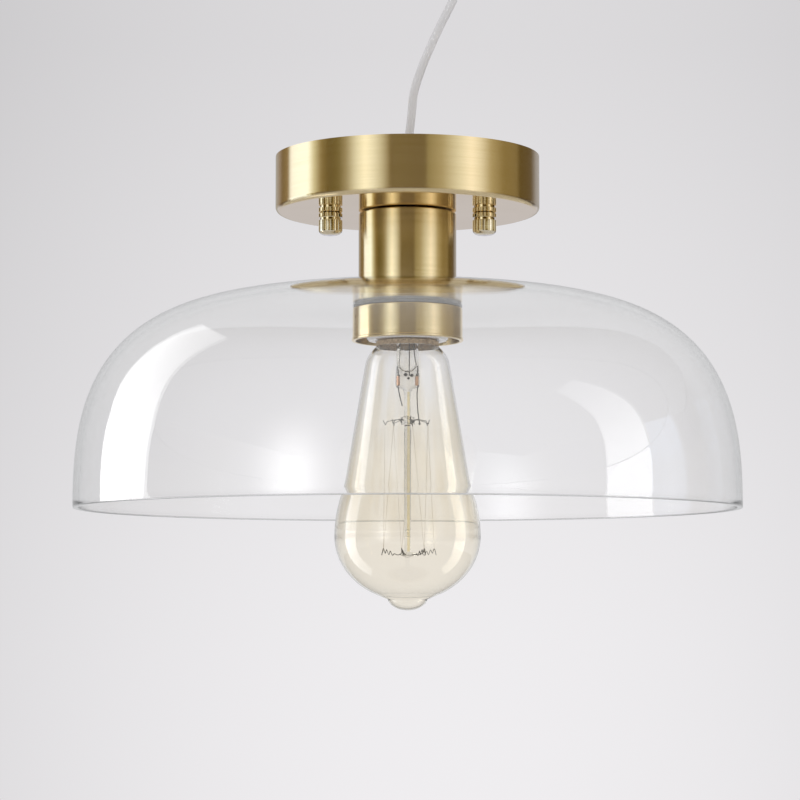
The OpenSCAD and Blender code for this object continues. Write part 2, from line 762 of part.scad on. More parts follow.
// Cap of the bulb: rolled shell with a wider rim and a dab of solder on its side
module bulb_cap() {
    r = bulb_thread_d / 2;
    rim = bulb_rim_d / 2;
    color("rosybrown") {
        rotate_extrude() polygon(concat(
            [[bulb_contact_d / 2 + 3, z_shell_top], [r - 1, z_shell_top]],
            thread_outline(r, cap_thread_depth, z_shell_top - 1, z_rim_top + 0.5,
                cap_thread_pitch),
            [[r, z_rim_top], [rim, z_rim_top - 0.8], [rim, z_rim_low], [rim - cap_sheet, z_rim_low],
             [rim - cap_sheet, z_rim_top - 1.1], [cap_inside_r, z_rim_top - cap_sheet],
             [cap_inside_r, z_shell_top - cap_sheet - 0.6],
             [bulb_contact_d / 2 + 3, z_shell_top - cap_sheet]]));
        rotate(solder_angle) translate([rim + solder_r / 2, 0, z_rim_low + solder_r])
            sphere(r = solder_r, $fn = small);
    }
}

module bulb_insulator() {
    color("dimgray") rotate_extrude() polygon([
        [0, z_shell_top], [bulb_contact_d / 2 + 3, z_shell_top],
        [bulb_contact_d / 2 + 4, z_shell_top + 0.2], [bulb_contact_d / 2 + 0.8, z_bulb_top - bulb_contact_h],
        [0, z_bulb_top - bulb_contact_h]]);
}

module bulb_contact() {
    color("silver") rotate_extrude() polygon([
        [0, z_bulb_top], [bulb_contact_d / 4, z_bulb_top - 0.1],
        [bulb_contact_d / 2, z_bulb_top - bulb_contact_h], [0, z_bulb_top - bulb_contact_h]]);
}

// Glass stem: flare tube, pinch, centre rod and two beads
module bulb_stem() {
    flare_r = neck_r - bulb_wall - fit;
    flare_low = z_rim_low;
    flare_top = flare_low + flare_h;
    pinch_z = z_bulb_top - pinch_top;
    rod_z = z_bulb_top - rod_low;
    color("white", 0.5) {
        rotate_extrude() polygon([
            [flare_d / 2, pinch_z - 0.5], [flare_d / 2, flare_low], [flare_r, flare_top],
            [flare_r - flare_wall, flare_top], [flare_d / 2 - flare_wall, flare_low],
            [flare_d / 2 - flare_wall, pinch_z - 0.5]]);
        translate([-flare_d / 2, -pinch_t / 2, pinch_z - pinch_h])
            cube([flare_d, pinch_t, pinch_h]);
        rod(rod_d / 2, rod_z, pinch_z - pinch_h + 0.5);
        for (bead = [[top_bead, bead_h], [low_bead, low_bead_h]])
            translate([0, 0, z_bulb_top - bead[0]]) bead_shape(bead[1]);
    }
}

// A flattened glass bead round the rod
module bead_shape(h) {
    rotate_extrude($fn = small) polygon([for (a = [-90 : 15 : 90])
        [bead_d / 2 * cos(a), h / 2 * sin(a)]]);
}

// Wires that stand out from the beads and end in small hooks for the filament
module filament_supports() {
    step = 360 / filament_loops;
    color("dimgray") for (k = [0 : filament_loops - 1]) {
        rotate(k * step) support_wire(z_bulb_top - low_bead, filament_low_r, hook_rise);
        rotate((k + 0.5) * step) support_wire(z_bulb_top - top_bead, filament_top_r, -hook_rise);
    }
}

module support_wire(z, reach, rise) {
    start = bead_d / 2 - 0.3;
    translate([start, 0, z]) rotate([0, 90, 0])
        cylinder(d = support_d, h = reach - start, $fn = 12);
    translate([reach, 0, z + min(rise, 0)]) cylinder(d = support_d, h = abs(rise), $fn = 12);
}

// Stiff wires from the pinch down to the two ends of the filament
module lead_in_wires() {
    top = z_bulb_top - pinch_top - pinch_h + 2;
    low = z_bulb_top - top_bead - hook_rise - 1;
    color("dimgray") for (side = [-1, 1])
        swept_tube([[side * 3.6, 0, top], [side * 3.6, 0, top - 3], [side * 4, 1.5, top - 9],
            [side * 4.6, 4, low + 5], [side * 5.5, 4.6, low]], lead_wire_d / 2, 6, [0, 1, 0]);
}

// Filament: one thin wire that zigzags between the upper and the lower hooks
function hook_turn(angle, reach, z, up) =
    let (
        centre = [reach * cos(angle), reach * sin(angle), z],
        along = [-sin(angle), cos(angle), 0]
    )
    [for (a = [180 : -45 : 0]) centre + hook_bend_r * (cos(a) * -1 * along + up * [0, 0, sin(a)])];
function filament_path() =
    let (
        step = 360 / filament_loops,
        z_low = z_bulb_top - low_bead - filament_gap,
        z_top = z_bulb_top - top_bead + filament_gap
    )
    [for (k = [0 : filament_loops - 1]) each concat(
        reversed(hook_turn(k * step, filament_low_r, z_low, -1)),
        k < filament_loops - 1 ?
            reversed(hook_turn((k + 0.5) * step, filament_top_r, z_top, 1)) : [])];

module filament() {
    color("dimgray") swept_tube(filament_path(), filament_d / 2, 4, [0.01, 0.02, 0.03]);
}

mounting_strap();
earth_screw();
stud(-1);  // stud_left
stud(1);  // stud_right
stud_locknuts();
canopy();
nipple();
lock_washer();
canopy_locknut();
cord_grip();
cord_grip_screw();
cup_washer();
socket_cup();
cup_locknut();
holder_bracket();
holder_screws();
lampholder_body();
screw_shell();
centre_contact();
terminals();
lead_inner();
core_wire(1);  // line_wire
core_wire(-1);  // neutral_wire
supply_lead();
lead_tails();
cap_nut(-1);  // cap_nut_left
cap_nut(1);  // cap_nut_right
glass_dome();
shade_gasket();
shade_ring();
bulb_glass();
bulb_cap();
bulb_insulator();
bulb_contact();
bulb_stem();
filament_supports();
lead_in_wires();
filament();
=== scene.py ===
import math

import bmesh
import bpy
from mathutils import Matrix, Vector


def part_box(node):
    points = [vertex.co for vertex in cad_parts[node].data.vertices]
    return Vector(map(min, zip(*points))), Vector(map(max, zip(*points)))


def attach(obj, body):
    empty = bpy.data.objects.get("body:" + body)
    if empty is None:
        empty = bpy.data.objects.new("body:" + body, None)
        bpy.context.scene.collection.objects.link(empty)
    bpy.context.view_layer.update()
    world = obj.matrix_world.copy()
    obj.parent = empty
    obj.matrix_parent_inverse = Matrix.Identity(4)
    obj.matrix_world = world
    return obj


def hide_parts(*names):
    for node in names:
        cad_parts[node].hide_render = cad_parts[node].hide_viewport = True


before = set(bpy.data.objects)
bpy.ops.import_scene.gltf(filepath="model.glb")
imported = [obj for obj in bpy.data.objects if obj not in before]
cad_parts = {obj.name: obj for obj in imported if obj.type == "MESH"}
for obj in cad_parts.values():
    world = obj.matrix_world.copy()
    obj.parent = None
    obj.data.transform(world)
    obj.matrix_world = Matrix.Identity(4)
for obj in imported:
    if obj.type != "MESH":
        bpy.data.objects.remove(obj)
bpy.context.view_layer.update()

MM = 0.001
POLE_R = 1e-7

# Route of the supply lead, as in part.scad, in metres
LEAD_START = (0, 0, -0.005)
LEAD_ROUTE = [
    (0, 0, 0), (0, 0, 0.004), (0.001, 0, 0.012), (0.002, 0, 0.021), (0.003, 0, 0.030),
    (0.006, 0, 0.040), (0.010, 0, 0.050), (0.015, 0, 0.061), (0.020, 0, 0.071), (0.024, 0, 0.080),
]
LEAD_DIAMETER = 0.0038

# Two cores wind round each other in the lead, and both braid and sheath have fine ribs
CORE_R, CORE_REACH, CORE_TURNS = 0.68 * MM, 0.72 * MM, 1.5
BRAID_AROUND, BRAID_ALONG = 6, 120
SHEATH_RIB = 1.1 * MM

# Measured shape of the glass, as in part.scad, and its bevels at the rim and in the hole
GLASS_TOP_POWER = 4.0
GLASS_SIDE_POWER = 2.72
GLASS_WALL = 2.6 * MM
GLASS_HOLE = 20.75 * MM
RIM_BEVEL, HOLE_BEVEL = 0.55 * MM, 0.3 * MM
GLASS_STEPS, GLASS_SEGMENTS = 150, 320

# Measured shape of the bulb, as in part.scad, with turns in degrees
BULB_WALL = 0.8 * MM
SIDE_R, SIDE_TURN = 51 * MM, 18.5
WAIST_R = 56 * MM
CONE_L, CONE_TURN = 43.5 * MM, 9.6
SHOULDER_R, SHOULDER_TURN = 12 * MM, 53
SHOULDER_END_R = 13.87 * MM
BASE_DEPTH = 33.2 * MM
NECK_R = 11.925 * MM

# Tip of the bulb, which stands out a little more from its base than in part.scad
BUMP_R, BUMP_H, BUMP_OUT = 9.2 * MM, 6.2 * MM, 4.3 * MM

# Where the bulb's arcs stop short of each other, in degrees, and how the neck meets the cap
BUMP_END, BASE_START, WAIST_START = 12, 3, 0.6
NECK_IN_CAP, NECK_BELOW_CAP = 0.8 * MM, 0.2 * MM

# Levels inside the bulb, measured down from its contact
STEM_PINCH = 40 * MM
PINCH_H = 6.5 * MM
UPPER_BEAD = 61.8 * MM
LOWER_BEAD = 122 * MM

# Glass stem and filament
STEM_R, STEM_WALL, ROD_R = 5.0 * MM, 0.8 * MM, 1.5 * MM
FLARE_H, FLARE_STEPS = 5.0 * MM, 8
FILAMENT_LOOPS = 7
WINDING_STEPS = 72

# The photograph's camera
CAMERA_PLACE = (-0.0034, -1.1725, -0.2072)
CAMERA_TILT = 4.70
CAMERA_LENS = 117.0

# Faces of glass that a ray has passed in all when it was mirrored behind the dome's wall, by
# brass or the near face of other glass, and when the far face of that glass mirrored it
NEAR_FACE, FAR_FACE = 4, 6

# Strip light and lamp that glass mirrors, and how they change after that many faces
STRIP_POWER = 4.2
STRIP_CHANGES = [(NEAR_FACE, -0.48), (FAR_FACE, 0.48)]
STRIP_LOW, STRIP_TOP = -0.90, 0.66
LAMP_POWER, LAMP_CHANGE = 4.8, 0.3
LAMP_AZIMUTH, LAMP_ELEVATION = -38.5, 3
LAMP_WIDTH, LAMP_HEIGHT = 10, 12

# The backdrop is darker to both sides of this direction, and lighter in views from elsewhere
BACKDROP_MIDDLE, BACKDROP_FALL, BACKDROP_DARKEST = 0.024, -4.5, 0.86
BACKDROP_ELSEWHERE = 0.15

# Light that brass mirrors, by direction round it in degrees, with the camera's side at 0
STRIPES = [
    (-180, (0.42, 0.42, 0.42)), (-165, (0.42, 0.42, 0.42)), (-150, (0.34, 0.29, 0.26)),
    (-140, (0.20, 0.145, 0.07)), (-126, (0.31, 0.24, 0.13)), (-123, (1.20, 1.30, 1.50)),
    (-96, (1.28, 1.45, 1.65)), (-90, (0.75, 0.74, 0.57)), (-81, (0.25, 0.185, 0.055)),
    (-72, (0.135, 0.097, 0.018)), (-62, (0.19, 0.15, 0.042)), (-54, (0.40, 0.36, 0.24)),
    (-45, (0.90, 0.94, 0.90)), (-37, (1.25, 1.30, 1.30)), (-30, (1.00, 1.04, 1.03)),
    (-22, (0.62, 0.61, 0.52)), (-15.5, (0.24, 0.185, 0.07)), (-15, (0.11, 0.07, 0.010)),
    (-12, (0.185, 0.142, 0.052)), (16, (0.155, 0.112, 0.038)), (17, (0.30, 0.255, 0.12)),
    (30, (0.46, 0.41, 0.26)), (45, (0.85, 0.86, 0.79)), (57, (1.19, 1.18, 1.16)),
    (66, (0.92, 0.91, 0.85)), (77, (0.48, 0.42, 0.26)), (92, (0.275, 0.215, 0.09)),
    (110, (0.26, 0.205, 0.10)), (114, (0.13, 0.092, 0.030)), (137, (0.135, 0.10, 0.055)),
    (150, (0.35, 0.35, 0.40)), (180, (0.50, 0.50, 0.52)),
]


# Points
def polar(radius, angle, height):
    """A point by its distance from the Z axis and its angle in radians."""
    return Vector((radius * math.cos(angle), radius * math.sin(angle), height))


def turns(count, start=0.0):
    """Angles in even steps round the axis, in radians. The start is a share of a step."""
    return [2 * math.pi * (k + start) / count for k in range(count)]


def arc(centre, radius, start, end, steps, height=None):
    """Points on an arc in (radius, height) coordinates, angles in degrees from +r towards +z.
    A half height of its own makes it elliptic."""
    out = []
    for k in range(steps + 1):
        a = math.radians(start + (end - start) * k / steps)
        out.append((centre[0] + radius * math.cos(a), centre[1] + (height or radius) * math.sin(a)))
    return out


def at_level(level, points):
    """Points in metres, from points in millimetres whose heights start at a level."""
    return [(*(v * MM for v in across), level + up * MM) for *across, up in points]


def curve_through(points, steps):
    """A smooth curve through points, the same rule as in part.scad."""
    pts = [Vector(p) for p in points]
    last = len(pts) - 1
    out = []
    for i in range(last):
        a, b, c, d = pts[max(i - 1, 0)], pts[i], pts[i + 1], pts[min(i + 2, last)]
        for s in range(steps):
            t = s / steps
            out.append(0.5 * ((2 * b) + (c - a) * t + (2 * a - 5 * b + 4 * c - d) * t * t
                              + (3 * b - a - 3 * c + d) * t * t * t))
    out.append(pts[last])
    return out


def frames(points, side=None):
    """Each point of a path with two directions across it, which don't twist along the path."""
    last = len(points) - 1
    for k, point in enumerate(points):
        along = (points[min(k + 1, last)] - points[max(k - 1, 0)]).normalized()
        if side is None:
            guess = Vector((0, 1, 0)) if abs(along.y) < 0.9 else Vector((1, 0, 0))
            side = along.cross(guess).normalized()
        side = (side - along * side.dot(along)).normalized()
        yield point, side, along.cross(side)


def beside(path, reach, windings, phase):
    """A path that winds round another one at a distance."""
    last = len(path) - 1
    out = []
    for k, (point, side, up) in enumerate(frames(path, Vector((0, 1, 0)))):
        a = phase + 2 * math.pi * windings * k / last
        out.append(point + reach * (math.cos(a) * side + math.sin(a) * up))
    return out


# Meshes
def link(name, data):
    """A new object in the scene with this mesh or camera."""
    obj = bpy.data.objects.new(name, data)
    bpy.context.scene.collection.objects.link(obj)
    return obj


def meshed(name, bm):
    """A new object with the shape that was built in bm."""
    mesh = bpy.data.meshes.new(name)
    bm.to_mesh(mesh)
    bm.free()
    return link(name, mesh)


def smooth(name, bm, angle):
    """A new object, shaded smooth apart from edges that are sharper than the angle."""
    bm.normal_update()
    bmesh.ops.recalc_face_normals(bm, faces=bm.faces)
    limit = math.radians(angle)
    for face in bm.faces:
        face.smooth = True
    for edge in bm.edges:
        edge.smooth = len(edge.link_faces) == 2 and edge.calc_face_angle(0) < limit
    return meshed(name, bm)


def sheet(name, verts, faces):
    """A new object with the given flat faces."""
    mesh = bpy.data.meshes.new(name)
    mesh.from_pydata(verts, [], faces)
    return link(name, mesh)


def loft(name, levels, segments=48, closed=False, angle=60):
    """A surface through ellipses given as (half width x, half depth y, height). An ellipse
    without a width is a pole. If closed, the last one is joined to the first."""
    bm = bmesh.new()
    rings = []
    for across, deep, z in levels:
        if across < POLE_R:
            rings.append([bm.verts.new((0, 0, z))] * segments)
            continue
        rings.append([bm.verts.new((across * math.cos(a), deep * math.sin(a), z))
                      for a in turns(segments)])
    above = rings[1:] + rings[:1] if closed else rings[1:]
    for low, high in zip(rings, above):
        for k in range(segments):
            n = (k + 1) % segments
            corners = [low[k], low[n], high[n], high[k]]
            bm.faces.new(list(dict.fromkeys(corners)))
    return smooth(name, bm, angle)


def lathe(name, outline, segments, closed=True, angle=40):
    """A mesh of revolution about Z from (radius, height) points."""
    return loft(name, [(r, r, z) for r, z in outline], segments, closed, angle)


def tube(name, path, radius, sides=16, v_unit=1.0):
    """A round tube with closed ends along 3-D points. U runs round it and V along it, in units
    of v_unit metres."""
    points = [Vector(p) for p in path]
    marks = [0.0]
    for here, there in zip(points, points[1:]):
        marks.append(marks[-1] + (there - here).length)
    bm = bmesh.new()
    uv = bm.loops.layers.uv.new("UVMap")
    rings = []
    for p, side, up in frames(points):
        rings.append([bm.verts.new(p + radius * (math.cos(a) * side + math.sin(a) * up))
                      for a in turns(sides)])
    for i in range(len(rings) - 1):
        for j in range(sides):
            n = (j + 1) % sides
            face = bm.faces.new([rings[i][j], rings[i][n], rings[i + 1][n], rings[i + 1][j]])
            spots = [(j, i), (j + 1, i), (j + 1, i + 1), (j, i + 1)]
            for loop, (u, v) in zip(face.loops, spots):
                loop[uv].uv = (u / sides, marks[v] / v_unit)
    bm.faces.new(list(reversed(rings[0])))
    bm.faces.new(rings[-1])
    return smooth(name, bm, 50)


def join(name, objs):
    """Joins several objects into one piece."""
    bm = bmesh.new()
    for obj in objs:
        mesh = obj.data
        bm.from_mesh(mesh)
        bpy.data.objects.remove(obj)
        bpy.data.meshes.remove(mesh)
    return meshed(name, bm)


# Node trees
class Nodes:
    """Short names for building a node tree."""

    def __init__(self, tree):
        self.tree = tree

    def feed(self, socket, value):
        """Sets a socket to a number, vector or colour, or links it to an output."""
        if isinstance(value, bpy.types.NodeSocket):
            self.tree.links.new(value, socket)
        elif socket.type == "RGBA":
            socket.default_value = (*value, 1)
        else:
            socket.default_value = value

    def add(self, kind, sockets=(), **values):
        """A new node with its properties, and its sockets by name or number."""
        node = self.tree.nodes.new(kind)
        for key, value in values.items():
            setattr(node, key, value)
        for key, value in dict(sockets).items():
            self.feed(node.inputs[key], value)
        return node

    def math(self, operation, *values, clamp=False):
        node = self.add("ShaderNodeMath", enumerate(values), operation=operation, use_clamp=clamp)
        return node.outputs[0]

    def equal(self, value, count):
        """1 where a whole number is the count, 0 elsewhere."""
        return self.math("COMPARE", value, count, 0.5)

    def average(self, a, b, weight):
        """Mean of two values, the first with the weight and the second with the rest of 1."""
        rest = self.math("MULTIPLY", b, 1 - weight)
        return self.math("ADD", self.math("MULTIPLY", a, weight), rest)

    def share(self, value, low, high):
        """How far a value has come from one limit to the other, from 0 to 1."""
        sockets = {"Value": value, "From Min": low, "From Max": high}
        return self.add("ShaderNodeMapRange", sockets).outputs[0]

    def ramp(self, factor, stops):
        node = self.add("ShaderNodeValToRGB", {"Fac": factor})
        band = node.color_ramp
        while len(band.elements) < len(stops):
            band.elements.new(0.5)
        for element, (place, colour) in zip(band.elements, stops):
            element.position = place
            element.color = (*colour, 1)
        return node.outputs["Color"]

    def mix(self, factor, a, b, blend="MIX"):
        """Two colours mixed. In this node the colours are inputs 6 and 7 and output 2."""
        sockets = {"Factor": factor, 6: a, 7: b}
        return self.add("ShaderNodeMix", sockets, data_type="RGBA", blend_type=blend).outputs[2]

    def coordinate(self, axis, space="Object"):
        """One coordinate in a space. In "Generated" the world has its direction, and in "UV" the
        axes X and Y are U and V."""
        place = self.add("ShaderNodeTexCoord").outputs[space]
        return self.add("ShaderNodeSeparateXYZ", {0: place}).outputs[axis]

    def noise(self, scale, detail, roughness=0.55, stretch=(1, 1, 1)):
        """Noise over the object's coordinates, with a factor for each axis."""
        place = self.add("ShaderNodeTexCoord").outputs["Object"]
        place = self.add("ShaderNodeMapping", {"Vector": place, "Scale": stretch}).outputs[0]
        sockets = {"Vector": place, "Scale": scale, "Detail": detail, "Roughness": roughness}
        return self.add("ShaderNodeTexNoise", sockets).outputs["Fac"]

    def pick(self, first, second, factor):
        """The first shader, or the second where the factor is 1."""
        return self.add("ShaderNodeMixShader", {"Fac": factor, 1: first, 2: second}).outputs[0]


class Material(Nodes):
    """A material with a Principled shader."""

    def __init__(self, name):
        self.made = bpy.data.materials.new(name)
        self.made.use_nodes = True
        super().__init__(self.made.node_tree)
        self.shader = self.tree.nodes["Principled BSDF"]

    def set(self, **values):
        """Feeds sockets of the shader, with underscores for the spaces in their names."""
        for key, value in values.items():
            self.feed(self.shader.inputs[key.replace("_", " ")], value)

    def bump(self, height, strength, distance):
        sockets = {"Strength": strength, "Distance": distance, "Height": height}
        self.set(Normal=self.add("ShaderNodeBump", sockets).outputs["Normal"])


def greys(*stops):
    """Stops of a ramp from (place, level) pairs."""
    return [(place, (level,) * 3) for place, level in stops]


def even(low, high):
    """Stops of a ramp that runs from one level to the other."""
    return greys((0.0, low), (1.0, high))


# Materials
def satin_brass(name="satin_brass", polish=(0.19, 0.26), brushed=0.97, polished_below=None):
    """Brass brushed round the axis in fine rings. Below a level it is polished to a mirror."""
    m = Material(name)
    fine = m.noise(1.0, 2.0, stretch=(25, 25, 4200))
    broad = m.noise(1.0, 3.0, stretch=(9, 9, 700))
    grain = m.average(fine, broad, 0.65)
    rough = m.ramp(grain, even(*polish))
    if polished_below is not None:
        above = m.share(m.coordinate("Z"), polished_below - 0.3 * MM, polished_below + 0.3 * MM)
        rough = m.math("MULTIPLY_ADD", m.math("MULTIPLY", rough, above), 0.8, 0.05)
        m.set(Specular_Tint=m.ramp(above, [(0.0, (0.97, 0.92, 0.84)), (1.0, (1.0, 1.0, 1.0))]))
    tone = m.ramp(grain, [(0.30, (0.86, 0.70, 0.42)), (0.70, (0.94, 0.78, 0.50))])
    rings = m.add("ShaderNodeTangent", direction_type="RADIAL", axis="Z").outputs[0]
    m.set(Base_Color=tone, Roughness=rough, Metallic=1.0, Anisotropic=brushed,
          Anisotropic_Rotation=0.25, Tangent=rings)
    m.bump(grain, 0.035, 0.1 * MM)
    return m.made


def turned_metal(name, colours, roughness, grain=(40, 40, 2600), strength=0.15, metallic=1.0):
    """Plain turned or rolled metal with fine grain and slow stains."""
    m = Material(name)
    lines = m.noise(1.0, 2.0, stretch=grain)
    mixed = m.average(lines, m.noise(140.0, 4.0), 0.5)
    m.set(Base_Color=m.ramp(mixed, list(zip((0.35, 0.65), colours))),
          Roughness=m.ramp(mixed, even(*roughness)), Metallic=metallic)
    m.bump(lines, strength, 0.1 * MM)
    return m.made


def mottled(name, colours, roughness, noise, bumps, stops=(0.3, 0.7), **values):
    """Material whose two colours and bumps follow one noise, and its roughness if that is a pair.
    The noise is (scale, detail, roughness) and the bumps are (strength, distance)."""
    m = Material(name)
    cloud = m.noise(*noise)
    if isinstance(roughness, tuple):
        roughness = m.ramp(cloud, even(*roughness))
    m.set(Base_Color=m.ramp(cloud, list(zip(stops, colours))), Roughness=roughness, **values)
    m.bump(cloud, *bumps)
    return m.made


def plastic(name, colours, roughness, scale=260.0):
    """Plain coloured plastic, faintly mottled."""
    return mottled(name, colours, roughness, (scale, 4.0), (0.08, 0.2 * MM))


def porcelain():
    """Warm white porcelain with a thin glaze."""
    return mottled("porcelain", [(0.93, 0.91, 0.87), (0.98, 0.97, 0.94)], (0.12, 0.22),
                   (300.0, 5.0), (0.05, 0.3 * MM), Coat_Weight=0.4, Coat_Roughness=0.08)


def silicone():
    """Clear silicone with a cloudy and uneven skin."""
    return mottled("clear_silicone", [(0.96, 0.96, 0.96), (1.0, 1.0, 1.0)], (0.04, 0.16),
                   (150.0, 3.0), (0.8, 1.0 * MM), IOR=1.16, Transmission_Weight=0.62)


def cement(name, colours):
    """Rolled cap metal with the rough cement that holds the glass."""
    return mottled(name, colours, (0.35, 0.6), (700.0, 6.0, 0.7), (0.9, 0.8 * MM), (0.35, 0.62),
                   Metallic=0.35)


def rod_glass():
    """Amber glass for a core in the stem's rod, which paints the amber streak of light that the rod
    refracts.
    """
    return mottled("rod_amber", [(1.0, 0.90, 0.62), (1.0, 0.94, 0.74)], 0.0, (120.0, 2.0),
                   (0.05, 0.5 * MM), IOR=1.12, Transmission_Weight=1.0)


def stem_glass():
    """Clear glass with a faint slow waviness."""
    return mottled("stem_glass", [(0.990, 0.993, 0.993), (0.997, 0.998, 0.998)], 0.0, (14.0, 1.0),
                   (0.04, 1.0 * MM), IOR=1.30, Transmission_Weight=1.0)


def dome_glass(rim):
    """Blown soda glass: clear, with a faint slow waviness. At the rim it is greyer and less clear: a
    painted shade for the thin dark line that the rim's edge shows.
    """
    m = Material("clear_glass")
    # Painted shade: within a millimetre of the rim the glass turns grey and lets less light through
    near = m.share(m.coordinate("Z"), rim + 0.9 * MM, rim + 0.3 * MM)
    m.set(Roughness=0.0, IOR=1.46, Transmission_Weight=1.0)
    m.set(Base_Color=m.ramp(near, [(0.0, (0.994, 0.996, 0.996)), (1.0, (0.78, 0.80, 0.80))]),
          Transmission_Weight=m.math("MULTIPLY_ADD", near, -0.5, 1.0))
    m.bump(m.noise(14.0, 1.0), 0.04, 1.0 * MM)
    return m.made


def amber_glass(low, top):
    """Bulb glass with an amber coat, even low down and fading towards the neck. Above the low part,
    vertical streaks are painted into the coat as reflections of the filament.
    """
    m = Material("amber_glass")
    level = m.share(m.coordinate("Z"), low, top)
    coat = m.ramp(level, [(0.0, (0.992, 0.969, 0.902)), (0.30, (0.990, 0.961, 0.887)),
                          (0.60, (0.990, 0.966, 0.902)), (0.78, (0.990, 0.984, 0.962)),
                          (0.92, (1.0, 1.0, 1.0))])
    # Painted reflections: vertical streaks that stand in for the filament's reflections in the glass
    painted_streak = m.ramp(m.noise(1.0, 2.0, stretch=(150, 150, 3)),
                    [(0.36, (0.955, 0.930, 0.875)), (0.56, (1.0, 1.0, 1.0))])
    m.set(Base_Color=m.mix(m.share(level, 0.22, 0.45), coat, painted_streak, "MULTIPLY"),
          Roughness=0.0, IOR=1.43, Transmission_Weight=1.0, Specular_IOR_Level=0.95)
    m.bump(m.noise(30.0, 1.0), 0.03, 1.0 * MM)
    return m.made


def braid():
    """Tinned braid under the clear sheath: two sets of crossing ribs in UV space, with painted shade
    in the troughs between them.
    """
    m = Material("silver_braid")
    along = m.math("MULTIPLY", m.coordinate("Y", "UV"), BRAID_ALONG)
    ribs = []
    for side in (1, -1):
        around = m.math("MULTIPLY", m.coordinate("X", "UV"), BRAID_AROUND * side)
        ribs.append(m.math("SINE", m.math("MULTIPLY", m.math("ADD", around, along), 2 * math.pi)))
    weave = m.math("MULTIPLY_ADD", m.math("MULTIPLY", *ribs), 0.5, 0.5)
    # Painted shade: the troughs of the weave are darker than its ribs
    m.set(Base_Color=m.ramp(weave, [(0.2, (0.74, 0.74, 0.75)), (0.8, (0.95, 0.95, 0.95))]),
          Roughness=m.ramp(weave, even(0.45, 0.3)), Metallic=0.2)
    m.bump(weave, 0.5, 0.2 * MM)
    return m.made


def sheath(name="clear_sheath"):
    """Clear sheath with a milky haze and fine ribs across it."""
    m = Material(name)
    ribs = m.math("SINE", m.math("MULTIPLY", m.coordinate("Y", "UV"), 2 * math.pi / SHEATH_RIB))
    haze = m.noise(180.0, 3.0)
    m.set(Base_Color=m.ramp(haze, greys((0.3, 0.97), (0.7, 1.0))),
          Roughness=m.ramp(haze, even(0.05, 0.14)), IOR=1.35, Transmission_Weight=0.26)
    m.bump(m.math("MULTIPLY_ADD", ribs, 0.3, haze), 0.25, 0.2 * MM)
    return m.made


def wear(obj, material):
    """Gives a CAD node or a piece its material."""
    obj.data.materials.clear()
    obj.data.materials.append(material)


# Pieces
def finished(piece, material, body, slot, *replaced):
    """Material, body and the CAD nodes that a piece stands for. The slot is not used."""
    wear(piece, material)
    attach(piece, body)
    if replaced:
        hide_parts(*replaced)


def glass_dome(material):
    """The CAD dome again with many more steps: an even wall with a bevelled rim and hole."""
    low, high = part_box("glass_dome")
    radius, top, height = high.y, high.z, high.z - low.z
    start = math.asin((GLASS_HOLE / radius) ** (GLASS_TOP_POWER / 2))
    outer = []
    for k in range(GLASS_STEPS + 1):
        a = start + (math.pi / 2 - start) * k / GLASS_STEPS
        outer.append((radius * math.sin(a) ** (2 / GLASS_TOP_POWER),
                      top - height * (1 - max(math.cos(a), 0) ** (2 / GLASS_SIDE_POWER))))
    inner = []
    for before, here, after in zip(outer, outer[1:], outer[2:]):
        along = (Vector(after) - Vector(before)).normalized()
        inner.append((here[0] + GLASS_WALL * along.y, here[1] - GLASS_WALL * along.x))
    bevel_z = low.z + RIM_BEVEL
    rim = (arc((radius - RIM_BEVEL, bevel_z), RIM_BEVEL, 0, -90, 6)
           + arc((radius - GLASS_WALL + RIM_BEVEL, bevel_z), RIM_BEVEL, -90, -180, 6))
    clear_of_rim = low.z + 1.05 * RIM_BEVEL
    outer = [p for p in outer[1:] if p[1] > clear_of_rim]
    inner = [p for p in inner if p[1] > clear_of_rim]
    under = top - GLASS_WALL
    hole = [(GLASS_HOLE + HOLE_BEVEL, under), (GLASS_HOLE, under + HOLE_BEVEL),
            (GLASS_HOLE, top - HOLE_BEVEL), (GLASS_HOLE + HOLE_BEVEL, top)]
    outline = outer + rim + list(reversed(inner)) + hole
    finished(lathe("glass_shade_dome", outline, GLASS_SEGMENTS, angle=60), material,
             "glass_shade", "clear_glass", "glass_dome")


def bulb_side(inset):
    """Side of the bulb above its widest place, as in part.scad but finer."""
    def way(angle):
        return Vector((math.cos(math.radians(angle)), math.sin(math.radians(angle))))

    side = Vector((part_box("bulb_glass")[1].y - SIDE_R, 0))
    joint = side + SIDE_R * way(SIDE_TURN)
    waist = joint + WAIST_R * way(SIDE_TURN)
    cone_low = waist - WAIST_R * way(CONE_TURN)
    cone_top = cone_low + CONE_L * Vector((-way(CONE_TURN).y, way(CONE_TURN).x))
    shoulder = cone_top - SHOULDER_R * way(CONE_TURN)
    return (arc(side, SIDE_R - inset, 0, SIDE_TURN, 16)
            + arc(waist, WAIST_R + inset, 180 + SIDE_TURN - WAIST_START, 180 + CONE_TURN, 14)
            + arc(shoulder, SHOULDER_R - inset, CONE_TURN, SHOULDER_TURN, 20))


def bulb_face(inset):
    """One face of the bulb glass, from the tip up to the neck."""
    low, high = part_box("bulb_glass")
    wide, z_wide = high.y, low.z + BASE_DEPTH
    bump_z = low.z + BUMP_H
    base_h = BASE_DEPTH - BUMP_OUT
    bump = arc((0, bump_z), BUMP_R - inset, -90, -BUMP_END, 12, BUMP_H - inset)
    met = math.degrees(math.asin((z_wide - bump_z) / base_h))
    base = arc((0, z_wide), wide - inset, BASE_START - met, 0, 31, base_h - inset)[:-1]

    # The side is stretched a little so that it ends in the neck, below the cap
    drawn_r, drawn_z = bulb_side(0)[-1]
    across = (wide - SHOULDER_END_R) / (wide - drawn_r)
    upwards = (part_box("bulb_cap")[0].z - NECK_BELOW_CAP - z_wide) / drawn_z
    side = [(wide - across * (wide - r), z_wide + upwards * z) for r, z in bulb_side(inset)]
    return bump + base + side


